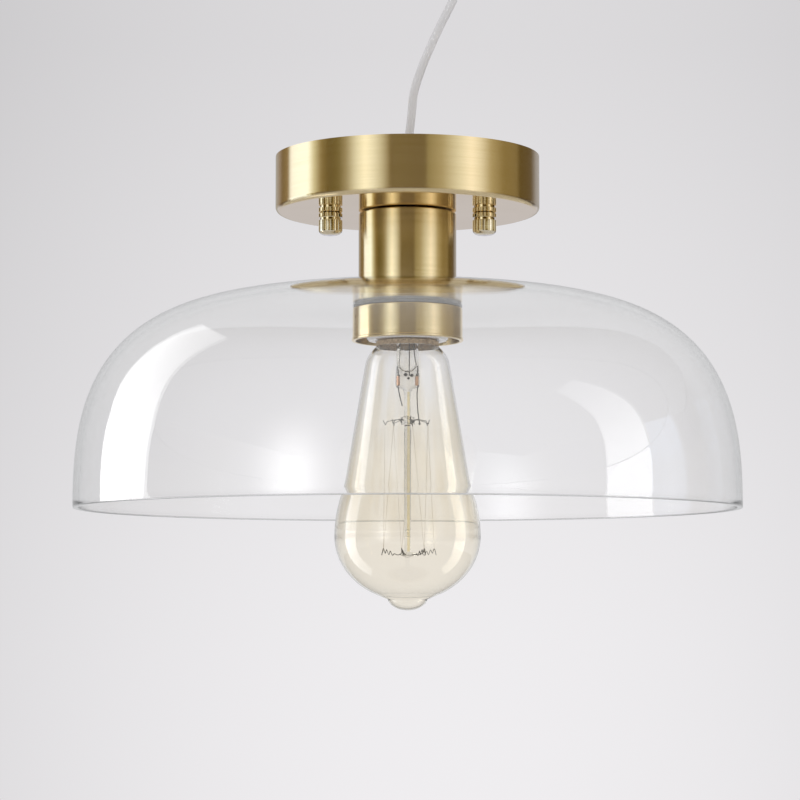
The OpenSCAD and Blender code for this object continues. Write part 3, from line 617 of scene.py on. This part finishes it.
def bulb_glass(material):
    """The bulb's glass again with many more steps, with the neck inside the cap."""
    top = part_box("bulb_glass")[1].z
    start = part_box("bulb_cap")[0].z + NECK_IN_CAP
    inner_r = NECK_R - BULB_WALL
    neck = [(NECK_R, start), (NECK_R, top), (inner_r, top), (inner_r, start)]
    outline = bulb_face(0) + neck + list(reversed(bulb_face(BULB_WALL)))
    finished(lathe("bulb_envelope", outline, 256, closed=False, angle=50), material,
             "bulb", "amber_glass", "bulb_glass")


def bulb_level(depth):
    """Height at a depth below the top of the bulb's contact."""
    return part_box("bulb_contact")[1].z - depth


def bead(centre, radius, height):
    """Levels of a flattened bead round the rod, from its top down."""
    rounded = arc((0, centre), radius, 75, -75, 10, height / 2)
    return [(max(ROD_R, r), max(ROD_R, r), z) for r, z in rounded]


def bulb_stem(material):
    """Glass stem: flared tube, flattened pinch, long rod and two beads."""
    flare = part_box("bulb_stem")[1]
    pinch, pinch_end = bulb_level(STEM_PINCH), bulb_level(STEM_PINCH + PINCH_H)
    upper, lower = bulb_level(UPPER_BEAD), bulb_level(LOWER_BEAD)
    bore, tube_end = STEM_R - STEM_WALL, pinch + 4 * MM
    flared = []
    for k in range(FLARE_STEPS + 1):
        t = k / FLARE_STEPS
        flared.append((flare.y * t ** 2 + STEM_R * (1 - t ** 2), flare.z - FLARE_H * (1 - t)))

    levels = at_level(pinch, [(0, 0, 0.5), (2.6, 2.0, 1.4)]) + [(bore, bore, tube_end)]
    levels += [(r - STEM_WALL, r - STEM_WALL, z) for r, z in flared]
    levels += [(r, r, z) for r, z in reversed(flared)] + [(STEM_R, STEM_R, tube_end)]
    levels += at_level(pinch, [(5.1, 4.0, 2), (5.3, 2.3, 0), (5.4, 1.8, -2), (5.4, 1.8, -5)])
    levels += at_level(pinch_end, [(5.0, 1.7, 0), (2.4, 1.6, -0.6)])
    levels += [(ROD_R, ROD_R, pinch_end - 2 * MM)]
    levels += bead(upper, 3.3 * MM, 4.4 * MM) + bead(lower, 3.6 * MM, 2.4 * MM)
    levels += at_level(lower, [(0.8, 0.8, -1.5), (0, 0, -1.7)])
    finished(loft("bulb_stem_glass", levels), material, "bulb", "clear_glass", "bulb_stem")


def spokes(name, z, points, radius, start):
    """Thin wires that leave the stem in a ring, each bent through (reach, rise) points in
    millimetres."""
    arms = []
    for a in turns(FILAMENT_LOOPS, start):
        path = [polar(reach, a, height) for reach, height in at_level(z, points)]
        arms.append(tube(name + str(len(arms)), curve_through(path, 4), radius, sides=8))
    return join(name, arms)


def winding(number, upper, rise):
    """One uneven turn of wire round the upper bead, at a rise above its middle in millimetres."""
    reach = 3.45 - 0.32 * rise ** 2
    path = []
    for k in range(WINDING_STEPS + 1):
        a = 2 * math.pi * k / WINDING_STEPS
        r = reach + 0.22 * math.sin(7 * a + number)
        path.append(polar(r * MM, a, upper + (rise + 0.45 * math.sin(5 * a + 2 * number)) * MM))
    return tube("winding" + str(number), path, 0.07 * MM, sides=6)


def bulb_supports(material):
    """Bent supports in a ring at both beads, and the windings round the upper one."""
    upper, lower = bulb_level(UPPER_BEAD), bulb_level(LOWER_BEAD)
    upper_bends = [(2.4, 0.2), (5.0, 0.5), (8.0, -0.1), (9.4, -0.5), (10.0, -1.8), (11.0, 0.2)]
    lower_bends = [(3.0, 0), (5.0, -0.3), (6.6, 0.2), (7.6, -0.5), (8.6, 1.4), (9.4, -0.2),
                   (10.4, 2.0), (11.2, 0.4), (12.0, 2.6), (12.9, -0.4)]
    wires = [spokes("upper_supports", upper, upper_bends, 0.15 * MM, 0.5),
             spokes("lower_supports", lower, lower_bends, 0.13 * MM, 0.0)]
    wires += [winding(k, upper, rise) for k, rise in enumerate((1.3, 0.1, -1.2))]
    finished(join("bulb_supports", wires), material, "bulb", "dark_wire", "filament_supports")


def bulb_filament(material):
    """Fine strands from each lower support to the two upper ones beside it."""
    head_r, head_z = 10.2 * MM, bulb_level(UPPER_BEAD) - 1.6 * MM
    foot_r, foot_z = 12.1 * MM, bulb_level(LOWER_BEAD) + 1.2 * MM
    strands = []
    for k in range(FILAMENT_LOOPS):
        foot = polar(foot_r, 2 * math.pi * k / FILAMENT_LOOPS, foot_z)
        for side in (-0.5, 0.5):
            head = polar(head_r, 2 * math.pi * (k + side) / FILAMENT_LOOPS, head_z)
            strands.append(tube("strand" + str(len(strands)), [foot, head], 0.03 * MM, sides=6))
    finished(join("bulb_filament", strands), material, "bulb", "dark_wire", "filament")


def knot(name, centre, radius):
    """A small ball of metal."""
    rounded = [(radius * math.cos(t), radius * math.cos(t), radius * math.sin(t))
               for t in (-1.1, -0.6, 0.0, 0.6, 1.1)]
    ball = loft(name, [(0, 0, -radius)] + rounded + [(0, 0, radius)], segments=12)
    ball.data.transform(Matrix.Translation(centre))
    return ball


def bulb_lead_in_wires(material):
    """Three wires through the pinch, and knots where they are welded or leave the glass."""
    pinch = bulb_level(STEM_PINCH)

    # Routes as well as the radius and place of each knot, in millimetres from the pinch
    routes = [
        [(-3.6, 0, 25), (-3.4, 0, 12), (-3.9, 0, 3), (-4.2, 0, -5), (-3.8, 0.2, -9), (-2.4, 0.4, -15)],
        [(0.8, 1.0, 25), (0.9, 1.0, 12), (0.8, 0.6, 3), (0.8, 0.4, -1)],
        [(3.4, 0, 25), (3.0, 0, 12), (4.0, 0, 3), (4.6, 0, -5), (4.3, -0.4, -10), (4.6, -0.8, -17),
         (5.4, -1.0, -23)],
    ]
    knots = [(0.55, (5.4, -1.0, -23.2)), (0.9, (-0.8, 0, -0.4)), (0.8, (1.9, 0, -0.8)),
             (0.6, (0.4, 0, -2.2)), (0.6, (-3.9, 0, -1.0)), (0.6, (4.2, 0, -0.6))]
    wires = []
    for route in routes:
        path = curve_through(at_level(pinch, route), 6)
        wires.append(tube("lead_in" + str(len(wires)), path, 0.26 * MM, sides=10))
    for radius, place in knots:
        wires.append(knot("knot" + str(len(wires)), at_level(pinch, [place])[0], radius * MM))
    finished(join("bulb_lead_in_wires", wires), material, "bulb", "dark_wire", "lead_in_wires")


def bulb_seal(foil_material, painted_streak_material):
    """Copper foils of the outer wires in the pinch, and an amber core in the rod that paints the
    streak of light which the rod refracts.
    """
    pinch, pinch_end = bulb_level(STEM_PINCH), bulb_level(STEM_PINCH + PINCH_H)
    foils = []
    for side in (-1, 1):
        x = side * 4.1 * MM
        foils.append(tube("foil" + str(side), [(x, 0, pinch - 1.2 * MM), (x, 0, pinch_end + MM)],
                          0.75 * MM, sides=12))
    finished(join("bulb_seal_foils", foils), foil_material, "bulb", "dark_wire")
    # Painted refraction: a thin amber core beside the rod's axis, for the amber streak of refracted
    # light
    aside = 0.35 * MM
    painted_streak = tube("bulb_rod_painted_streak", [(aside, 0, pinch_end - 2 * MM),
                                      (aside, 0, bulb_level(LOWER_BEAD) + MM)], 0.5 * MM)
    finished(painted_streak, painted_streak_material, "bulb", "amber_glass")


def cap_cement(material):
    """Crumbly cement at the cap's rim and in the neck of the glass."""
    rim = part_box("bulb_cap")[0].z
    edge = at_level(rim, [(12.0, 1.6), (13.75, 1.6), (13.78, 0), (13.4, -0.12), (12.6, 0.1),
                          (12.0, 0.4)])
    finished(lathe("bulb_cap_cement", edge, 128), material, "bulb", "cap_metal")
    fill = at_level(rim, [(6.2, 2.6), (6.2, 2.2), (9.0, 0.9), (11.6, 0.2), (12.7, 0.1), (12.7, 0.9)])
    ragged = lathe("bulb_neck_cement", fill, 160)
    for v in ragged.data.vertices:
        a = math.atan2(v.co.y, v.co.x)
        crumble = math.sin(5 * a + 1) + 0.7 * math.sin(13 * a + 2) + 0.5 * math.sin(29 * a)
        v.co.z += 0.22 * MM * crumble
    finished(ragged, material, "bulb", "cap_metal")


def supply_lead(sheath_material, braid_material):
    """Clear round sheath over two silvery cores that wind round each other."""
    path = [Vector(LEAD_START)] + curve_through(LEAD_ROUTE, 6)
    length = sum((b - a).length for a, b in zip(path, path[1:]))
    outer = tube("supply_lead_sheath", path, LEAD_DIAMETER / 2, sides=24)
    cores = [tube("core" + str(k), beside(path, CORE_REACH, CORE_TURNS, math.pi * k), CORE_R,
                  v_unit=length) for k in range(2)]
    core = join("supply_lead_cores", cores)
    finished(core, braid_material, "canopy_assembly", "clear_pvc")
    finished(outer, sheath_material, "canopy_assembly", "clear_pvc", "supply_lead")


def dress_nodes():
    """Materials for the CAD nodes that stay."""
    brass = satin_brass()
    canopy_brass = satin_brass("canopy_brass", (0.16, 0.24), 1.0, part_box("canopy")[0].z + 0.4 * MM)
    polished = turned_metal("polished_brass", [(0.80, 0.69, 0.49), (1.0, 0.94, 0.79)],
                            (0.04, 0.10), strength=0.05)
    plain = turned_metal("plain_brass", [(0.62, 0.45, 0.20), (0.78, 0.60, 0.32)], (0.25, 0.42))
    zinc = turned_metal("zinc_steel", [(0.52, 0.53, 0.54), (0.70, 0.70, 0.69)], (0.28, 0.45),
                        (900, 60, 60))
    green = turned_metal("green_steel", [(0.03, 0.22, 0.09), (0.06, 0.34, 0.15)], (0.3, 0.45),
                         metallic=0.6)
    nickel = turned_metal("nickel", [(0.60, 0.58, 0.52), (0.72, 0.70, 0.64)], (0.18, 0.3))
    tinned = turned_metal("tinned", [(0.58, 0.58, 0.58), (0.76, 0.76, 0.76)], (0.3, 0.45))
    washer = plastic("dark_washer", [(0.012, 0.012, 0.012), (0.03, 0.03, 0.03)], (0.55, 0.75))
    core_skin = plastic("wire_sheath", [(0.62, 0.63, 0.66), (0.74, 0.75, 0.78)], (0.25, 0.4))
    vitrite = plastic("black_vitrite", [(0.008, 0.008, 0.01), (0.02, 0.02, 0.024)], (0.08, 0.2))
    rosy = cement("cap_cement", [(0.56, 0.40, 0.24), (0.92, 0.73, 0.50)])
    look = {
        "canopy": canopy_brass, "socket_cup": brass, "shade_ring": brass,
        "cap_nut_left": polished, "cap_nut_right": polished,
        "nipple": plain, "canopy_locknut": plain, "cup_locknut": plain, "cord_grip": plain,
        "terminals": plain, "centre_contact": plain,
        "mounting_strap": zinc, "stud_left": zinc, "stud_right": zinc, "stud_locknuts": zinc,
        "lock_washer": zinc, "cord_grip_screw": zinc, "holder_bracket": zinc,
        "holder_screws": zinc, "earth_screw": green, "screw_shell": nickel,
        "lead_tails": tinned, "bulb_contact": tinned, "cup_washer": washer,
        "line_wire": core_skin, "neutral_wire": core_skin, "lead_inner": sheath("inner_sheath"),
        "lampholder_body": porcelain(), "shade_gasket": silicone(),
        "bulb_insulator": vitrite, "bulb_cap": rosy,
    }
    for name, material in look.items():
        wear(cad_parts[name], material)


# Studio
def backdrop(w, x, y, elevation):
    """The room in direct sight: brighter below, and darker to both sides of the middle."""
    # Heights are shares of 60 degrees of elevation, with the horizon at 0.5
    height = w.math("MULTIPLY_ADD", elevation, 1 / 60, 0.5, clamp=True)
    heights = [(0.0, 0.865), (0.45, 0.865), (0.487, 0.858), (0.523, 0.843), (0.56, 0.819),
               (0.597, 0.793), (0.633, 0.771), (0.67, 0.744), (0.707, 0.716), (0.75, 0.71),
               (1.0, 0.82)]
    colour = w.ramp(height, [(h, (v, 0.983 * v, 1.003 * v)) for h, v in heights])
    aside = w.math("SUBTRACT", x, BACKDROP_MIDDLE)
    fall = w.math("MULTIPLY_ADD", w.math("MULTIPLY", aside, aside), BACKDROP_FALL, 1.0)
    fall = w.math("MAXIMUM", fall, BACKDROP_DARKEST)
    elsewhere = w.math("SUBTRACT", 0.95, y, clamp=True)
    strength = w.math("MULTIPLY_ADD", elsewhere, BACKDROP_ELSEWHERE, fall)
    return w.add("ShaderNodeBackground", {"Color": colour, "Strength": strength}).outputs[0]


def brass_room(w, y, z, azimuth, upward, passed):
    """What brass mirrors: stripes of light round it, between a plain floor and ceiling."""
    striped = w.ramp(w.math("MULTIPLY_ADD", azimuth, 1 / 360, 0.5),
                     [((angle + 180) / 360, colour) for angle, colour in STRIPES])

    # The tube that the canopy's underside mirrors is seen from above, with harder stripes
    harder = w.add("ShaderNodeGamma", {"Color": striped, "Gamma": 1.6}).outputs[0]
    striped = w.mix(w.share(z, -0.06, -0.12), striped, harder)
    plain = w.ramp(upward, greys((0.0, 1), (0.37, 1), (0.41, 0), (0.66, 0), (0.78, 1), (1.0, 1)))
    room = w.mix(plain, striped, (0.62, 0.60, 0.60))

    # The underside itself mirrors the pale floor behind
    in_air = w.math("LESS_THAN", passed, 0.5)
    floor_behind = w.math("MULTIPLY", w.share(z, -0.07, -0.11), w.share(y, 0.85, 0.93))
    room = w.mix(w.math("MULTIPLY", floor_behind, in_air), room, (0.60, 0.63, 0.78))

    # Behind glass, brass mirrors a pale wall there
    wall_behind = w.math("MULTIPLY", w.share(y, 0.80, 0.92), w.math("SUBTRACT", 1.0, in_air))
    return w.mix(wall_behind, room, (0.72, 0.71, 0.72))


def glass_room(w, y, upward):
    """What glass mirrors: a plain pale room, lighter above, below and on the camera's side."""
    room = w.ramp(upward, [(0.0, (0.86, 0.86, 0.86)), (0.42, (0.78, 0.78, 0.79)),
                           (0.52, (0.64, 0.64, 0.65)), (0.56, (0.66, 0.66, 0.67)),
                           (0.63, (0.74, 0.74, 0.75)), (1.0, (0.86, 0.86, 0.87))])
    return w.mix(w.share(y, 0.0, -1.0), room, (0.94, 0.94, 0.96))


def lamp_glow(w, azimuth, elevation):
    """Strength of a soft oval lamp, by direction."""
    across = w.math("DIVIDE", w.math("SUBTRACT", azimuth, LAMP_AZIMUTH), LAMP_WIDTH)
    up = w.math("DIVIDE", w.math("SUBTRACT", elevation, LAMP_ELEVATION), LAMP_HEIGHT)
    square = w.math("ADD", w.math("MULTIPLY", across, across), w.math("MULTIPLY", up, up))
    return w.math("MULTIPLY", w.math("EXPONENT", w.math("MULTIPLY", square, -1.0)), LAMP_POWER)


def studio_world():
    """A backdrop for direct sight, and a room each for what brass and glass mirror."""
    world = bpy.data.worlds.new("studio")
    bpy.context.scene.world = world
    world.use_nodes = True
    world.node_tree.nodes.clear()
    world.cycles.sampling_method = "NONE"
    w = Nodes(world.node_tree)
    x, y, z = (w.coordinate(axis, "Generated") for axis in "XYZ")
    elevation = w.math("DEGREES", w.math("ARCSINE", z))
    azimuth = w.math("DEGREES", w.math("ARCTAN2", x, w.math("MULTIPLY", y, -1.0)))
    upward = w.math("MULTIPLY_ADD", elevation, 1 / 180, 0.5, clamp=True)
    ray = w.add("ShaderNodeLightPath").outputs
    passed = ray["Transmission Depth"]

    # Glass leaves a ray sharp, also one that brass mirrored behind the dome's wall. By its faces
    # that one is told apart, for the brass room
    from_brass = w.equal(passed, NEAR_FACE)
    sharp = w.math("MULTIPLY", ray["Is Singular Ray"], w.math("SUBTRACT", 1.0, from_brass))
    room = w.mix(sharp, brass_room(w, y, z, azimuth, upward, passed), glass_room(w, y, upward))
    lamp = w.math("MULTIPLY", lamp_glow(w, azimuth, elevation), sharp)
    change = w.math("MULTIPLY_ADD", w.equal(passed, FAR_FACE), LAMP_CHANGE, 1.0)

    mirrored = w.add("ShaderNodeBackground", {"Color": room}).outputs[0]
    shine = w.add("ShaderNodeBackground", {"Strength": w.math("MULTIPLY", lamp, change)}).outputs[0]
    both = w.add("ShaderNodeAddShader", {0: mirrored, 1: shine}).outputs[0]
    glossy = w.math("GREATER_THAN", ray["Glossy Depth"], 0.5)
    seen = w.pick(backdrop(w, x, y, elevation), both, glossy)
    w.add("ShaderNodeOutputWorld", {"Surface": seen})


def strip_glow():
    """Light for sharp rays that were mirrored once, weaker towards the panel's ends."""
    material = bpy.data.materials.new("strip_glow")
    material.use_nodes = True
    material.node_tree.nodes.clear()
    material.cycles.emission_sampling = "NONE"
    m = Nodes(material.node_tree)
    fade = m.ramp(m.share(m.coordinate("Z"), STRIP_LOW, STRIP_TOP),
                  greys((0.0, 0.32), (0.16, 0.46), (0.30, 0.66), (0.42, 1.0), (0.55, 1.0),
                        (0.64, 0.78), (0.71, 0.66), (0.84, 0.50), (1.0, 0.40)))
    ray = m.add("ShaderNodeLightPath").outputs
    strength = STRIP_POWER
    for faces, change in STRIP_CHANGES:
        passed = m.equal(ray["Transmission Depth"], faces)
        strength = m.math("MULTIPLY_ADD", passed, change * STRIP_POWER, strength)
    glow = m.add("ShaderNodeEmission", {"Color": fade, "Strength": strength}).outputs[0]
    gone = m.add("ShaderNodeBsdfTransparent").outputs[0]
    sharp = m.math("MULTIPLY", m.equal(ray["Glossy Depth"], 1), ray["Is Singular Ray"])
    m.add("ShaderNodeOutputMaterial", {"Surface": m.pick(gone, glow, sharp)})
    return material


def strip_light():
    """Tall soft strip on the left, which clear glass mirrors as bright stripes."""
    near, far = Vector((-0.639, -0.056)), Vector((-0.535, 0.230))

    # Edges as shares of the way from near to far, by height
    near_edge = [(0.36, -0.90), (0.30, -0.70), (0.28, -0.46), (0.19, -0.28), (0.11, -0.15),
                 (0.10, 0.00), (0.16, 0.10), (0.24, 0.20), (0.29, 0.30), (0.33, 0.40), (0.38, 0.60)]
    far_edge = [(1.18, -0.90), (1.18, -0.70), (1.15, -0.46), (1.06, -0.28), (1.00, -0.15),
                (1.03, 0.00), (1.15, 0.10), (1.23, 0.20), (1.32, 0.30), (1.40, 0.40), (1.44, 0.50)]
    verts = []
    for pair in zip(near_edge, far_edge):
        verts += [(*(near + share * (far - near)), height) for share, height in pair]
    faces = [(2 * k, 2 * k + 1, 2 * k + 3, 2 * k + 2) for k in range(len(near_edge) - 1)]
    panel = sheet("strip_light", verts, faces)
    wear(panel, strip_glow())


def floor():
    """Plain pale floor of a room, well below the light."""
    reach, level = 6.0, -2.2
    corners = [(-reach, -reach, level), (reach, -reach, level), (reach, reach, level),
               (-reach, reach, level)]
    piece = sheet("floor", corners, [(0, 1, 2, 3)])
    wear(piece, plastic("pale_floor", [(0.80, 0.80, 0.80), (0.84, 0.84, 0.84)], (0.7, 0.9),
                        scale=3.0))


def camera():
    """The camera that was fitted to the photograph."""
    data = bpy.data.cameras.new("camera")
    data.lens = CAMERA_LENS
    data.sensor_width = 36
    data.clip_start = 0.05
    data.clip_end = 50
    obj = link("camera", data)
    obj.location = CAMERA_PLACE
    obj.rotation_euler = (math.radians(90 + CAMERA_TILT), 0, 0)
    bpy.context.scene.camera = obj


camera()
supply_lead(sheath(), braid())
dress_nodes()
glass_dome(dome_glass(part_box("glass_dome")[0].z))
bulb_low, bulb_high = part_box("bulb_glass")
bulb_glass(amber_glass(bulb_low.z, bulb_high.z))
bulb_stem(stem_glass())
wire = turned_metal("dark_wire", [(0.13, 0.13, 0.13), (0.26, 0.25, 0.24)], (0.35, 0.5))
bulb_supports(wire)
bulb_filament(turned_metal("filament_strand", [(0.80, 0.68, 0.48), (0.95, 0.84, 0.64)],
                           (0.4, 0.6), metallic=0.3))
bulb_lead_in_wires(wire)
bulb_seal(turned_metal("seal_foil", [(0.78, 0.45, 0.30), (0.88, 0.58, 0.40)], (0.3, 0.45)),
          rod_glass())
cap_cement(cement("cement", [(0.38, 0.24, 0.14), (0.94, 0.76, 0.56)]))
studio_world()
strip_light()
floor()
bpy.context.scene.view_settings.view_transform = "Standard"
